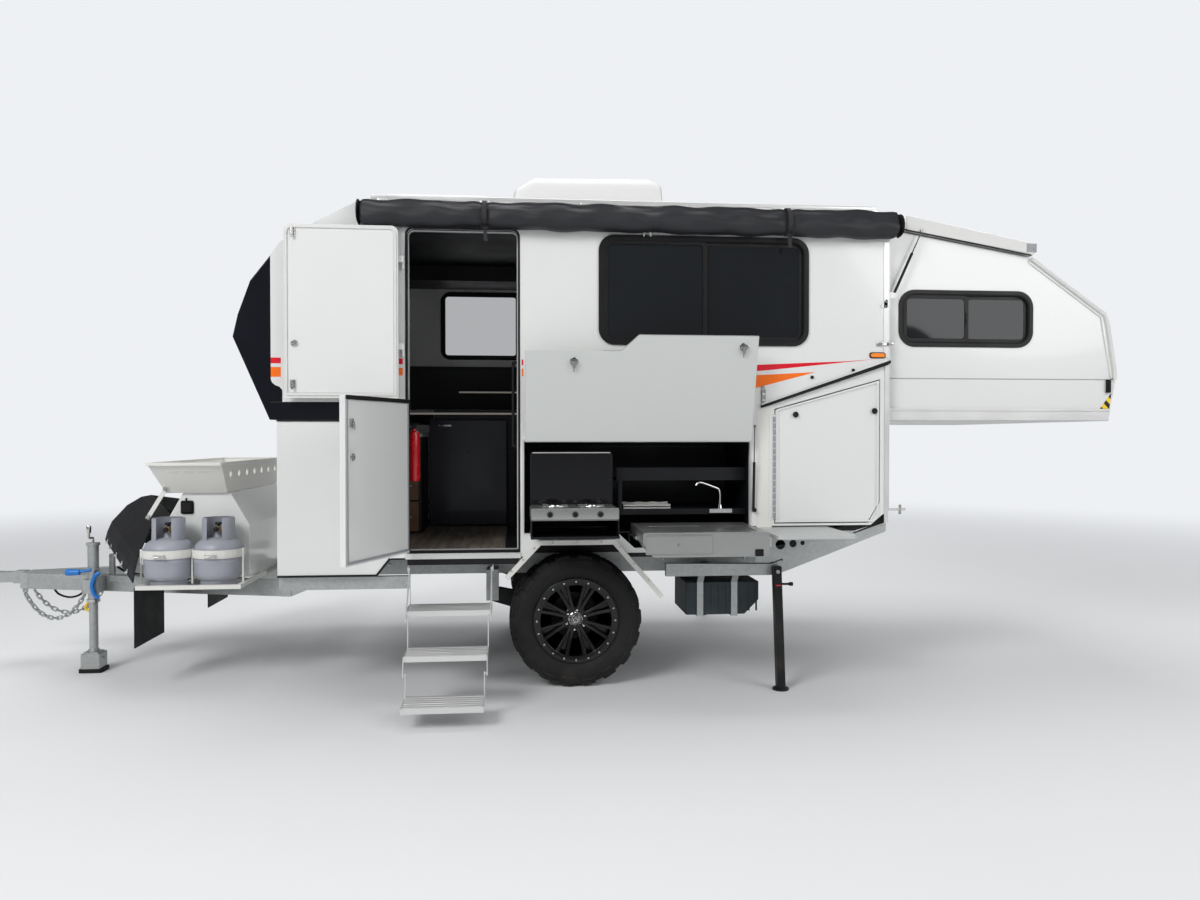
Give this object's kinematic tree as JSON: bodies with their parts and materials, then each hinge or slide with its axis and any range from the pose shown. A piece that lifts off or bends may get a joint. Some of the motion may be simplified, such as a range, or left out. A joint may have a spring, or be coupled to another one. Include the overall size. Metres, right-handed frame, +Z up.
{
  "type": "off-road camper trailer",
  "caption": "Hard-walled off-road camper trailer with a slide-out rear pod, split entry door, flip-fold steps and a slide-out outside kitchen.",
  "frame": {"origin": "centre of the coupling's upright pin socket, on the centreline, 0.59 m above the ground", "axes": "+X to the rear, +Y to the far side (away from the doors), +Z up"},
  "size_m": [7.545, 3.04, 3.38],
  "materials": {
    "tyre": "mud tread, dull",
    "rim_black": "satin black",
    "chassis_black": "powder coat, satin",
    "rubber": "matt",
    "galvanised": "hot-dip galvanised",
    "powder_cream": "powder coat",
    "bottle_grey": "enamel, satin",
    "white_paint": "gloss panel",
    "nose_black": "gloss panel",
    "liner_black": "satin laminate",
    "stainless": "brushed",
    "trim_aluminium": "anodised",
    "table_grey": "satin",
    "tank_grey": "moulded, dull",
    "window_glass": "dark tint",
    "floor_timber": "grey-brown boards",
    "cabin_charcoal": "laminate",
    "white_plastic": "moulded",
    "awning_vinyl": "coated vinyl"
  },
  "bodies": {
    "trailer": {"air_bags": "rubber", "air_conditioner": "white_plastic", "arch_strips": "powder_cream", "awning_bag": "awning_vinyl", "body_floor": "chassis_black", "box_tray": "powder_cream", "cabin_furniture": "cabin_charcoal", "chassis_frame": "galvanised", "coupling_head": "galvanised", "drawbar": "galvanised", "floor_boards": "floor_timber", "front_box": "white_paint", "gas_bottles": "bottle_grey", "gas_rack": "powder_cream", "jack_body": "galvanised", "kitchen_liner": "liner_black", "kitchen_shelf": "liner_black", "lower_front_shell": "white_paint", "mudflaps": "rubber", "nose_shell": "nose_black", "rear_wall": "white_paint", "roof_hatch": "white_plastic", "roof_panel": "white_paint", "safety_chains": "galvanised", "side_wall_far": "white_paint", "side_wall_near": "white_paint", "side_windows": "window_glass", "step_brackets": "trim_aluminium", "stone_guard": "chassis_black", "strut_bracket": "chassis_black", "trailing_arms": "chassis_black", "water_tank": "tank_grey"},
    "wheel_near": {"tyre_near": "tyre", "rim_near": "rim_black"},
    "wheel_far": {"tyre_far": "tyre", "rim_far": "rim_black"},
    "door_upper": {"door_upper": "white_paint"},
    "door_lower": {"door_lower": "white_paint"},
    "kitchen_hatch": {"kitchen_hatch": "white_paint"},
    "stove": {"stove": "stainless"},
    "sink_bench": {"sink_bench": "stainless"},
    "side_table": {"side_table": "table_grey"},
    "locker_near": {"locker_door_near": "white_paint"},
    "locker_far": {"locker_door_far": "white_paint"},
    "rear_pod": {"pod_sides": "white_paint", "pod_floor": "trim_aluminium", "pod_rear": "white_paint", "pod_windows": "window_glass"},
    "roof_lid": {"roof_lid": "white_paint"},
    "stabiliser_near": {"stabiliser_near": "chassis_black"},
    "stabiliser_far": {"stabiliser_far": "chassis_black"},
    "jack_leg": {"jack_leg": "galvanised"},
    "hatch_strut_tube": {"hatch_strut_tube": "chassis_black"},
    "hatch_strut_rod": {"hatch_strut_rod": "stainless"},
    "lid_strut_tubes": {"lid_strut_tube": "chassis_black"},
    "lid_strut_rods": {"lid_strut_rod": "stainless"},
    "step_top": {"step_top": "trim_aluminium"},
    "step_mid": {"step_mid": "trim_aluminium"},
    "step_low": {"step_low": "trim_aluminium"}
  },
  "joints": [
    {"name": "wheel_near_spin", "type": "hinge", "parent": "trailer", "child": "wheel_near", "pos_m": [3.95, -0.905, -0.175], "axis": [0, 1, 0], "continuous": true},
    {"name": "wheel_far_spin", "type": "hinge", "parent": "trailer", "child": "wheel_far", "pos_m": [3.95, 0.905, -0.175], "axis": [0, 1, 0], "continuous": true},
    {"name": "door_upper_hinge", "type": "hinge", "parent": "trailer", "child": "door_upper", "pos_m": [2.908, -1.122, 1.71], "axis": [0, 0, 1], "range_deg": [0, 180]},
    {"name": "door_lower_hinge", "type": "hinge", "parent": "trailer", "child": "door_lower", "pos_m": [2.908, -1.122, 0.71], "axis": [0, 0, 1], "range_deg": [-66.5, 113.5]},
    {"name": "hatch_hinge", "type": "hinge", "parent": "trailer", "child": "kitchen_hatch", "pos_m": [4.33, -1.12, 0.947], "axis": [1, 0, 0], "range_deg": [0, 165]},
    {"name": "stove_slide", "type": "slide", "parent": "trailer", "child": "stove", "axis": [0, 1, 0], "range_m": [0, 0.42]},
    {"name": "sink_slide", "type": "slide", "parent": "trailer", "child": "sink_bench", "axis": [0, 1, 0], "range_m": [0, 0.55]},
    {"name": "table_slide", "type": "slide", "parent": "trailer", "child": "side_table", "axis": [0, 1, 0], "range_m": [0, 0.5]},
    {"name": "locker_near_hinge", "type": "hinge", "parent": "trailer", "child": "locker_near", "pos_m": [5.184, -1.11, 0.81], "axis": [0, 0, 1], "range_deg": [-95, 0]},
    {"name": "locker_far_hinge", "type": "hinge", "parent": "trailer", "child": "locker_far", "pos_m": [5.184, 1.11, 0.81], "axis": [0, 0, -1], "range_deg": [-95, 0]},
    {"name": "pod_slide", "type": "slide", "parent": "trailer", "child": "rear_pod", "axis": [-1, 0, 0], "range_m": [0, 1.45]},
    {"name": "roof_lid_hinge", "type": "hinge", "parent": "trailer", "child": "roof_lid", "pos_m": [5.94, 0, 2.385], "axis": [0, 1, 0], "range_deg": [-12, 0]},
    {"name": "stabiliser_near_swing", "type": "hinge", "parent": "trailer", "child": "stabiliser_near", "pos_m": [5.204, -1.097, 0.125], "axis": [0, 0.9916, -0.129], "range_deg": [0, 90]},
    {"name": "stabiliser_far_swing", "type": "hinge", "parent": "trailer", "child": "stabiliser_far", "pos_m": [5.204, 1.097, 0.125], "axis": [0, 0.9916, 0.129], "range_deg": [0, 90]},
    {"name": "jack_lift", "type": "slide", "parent": "trailer", "child": "jack_leg", "axis": [0, 0, 1], "range_m": [0, 0.27]},
    {"name": "step_swing", "type": "hinge", "parent": "trailer", "child": "step_top", "pos_m": [3.185, -1.106, 0.172], "axis": [1, 0, 0], "range_deg": [0, 60]},
    {"name": "step_mid_fold", "type": "hinge", "parent": "step_top", "child": "step_mid", "pos_m": [3.185, -1.318, -0.09], "axis": [1, 0, 0], "range_deg": [-170, 0]},
    {"name": "step_low_fold", "type": "hinge", "parent": "step_mid", "child": "step_low", "pos_m": [3.185, -1.568, -0.345], "axis": [1, 0, 0], "range_deg": [-175, 0]},
    {"name": "hatch_strut_swing", "type": "hinge", "parent": "trailer", "child": "hatch_strut_tube", "pos_m": [5.048, -1.122, 0.515], "axis": [1, 0, 0], "range_deg": [-4.94, 0]},
    {"name": "hatch_strut_slide", "type": "slide", "parent": "hatch_strut_tube", "child": "hatch_strut_rod", "axis": [0, -0.0568, 0.9984], "range_m": [-0.17949, 0]},
    {"name": "lid_strut_swing", "type": "hinge", "parent": "trailer", "child": "lid_strut_tubes", "pos_m": [5.962, 0, 1.865], "axis": [0, 1, 0], "range_deg": [-0.496, 0]},
    {"name": "lid_strut_slide", "type": "slide", "parent": "lid_strut_tubes", "child": "lid_strut_rods", "axis": [0.4148, 0, 0.9099], "range_m": [0, 0.0491]}
  ],
  "couplings": [
    {"joint": "hatch_strut_swing", "follows": "hatch_hinge", "ratio": -0.02996},
    {"joint": "hatch_strut_slide", "follows": "hatch_hinge", "m_per_rad": -0.06232},
    {"joint": "lid_strut_swing", "follows": "roof_lid_hinge", "ratio": 0.04134},
    {"joint": "lid_strut_slide", "follows": "roof_lid_hinge", "m_per_rad": -0.23443},
    {"joint": "stove_slide", "follows": "hatch_hinge", "m_per_rad": 0.14584},
    {"joint": "sink_slide", "follows": "hatch_hinge", "m_per_rad": 0.19098},
    {"joint": "step_mid_fold", "follows": "step_swing", "ratio": -2.8333},
    {"joint": "step_low_fold", "follows": "step_swing", "ratio": -2.9167}
  ]
}
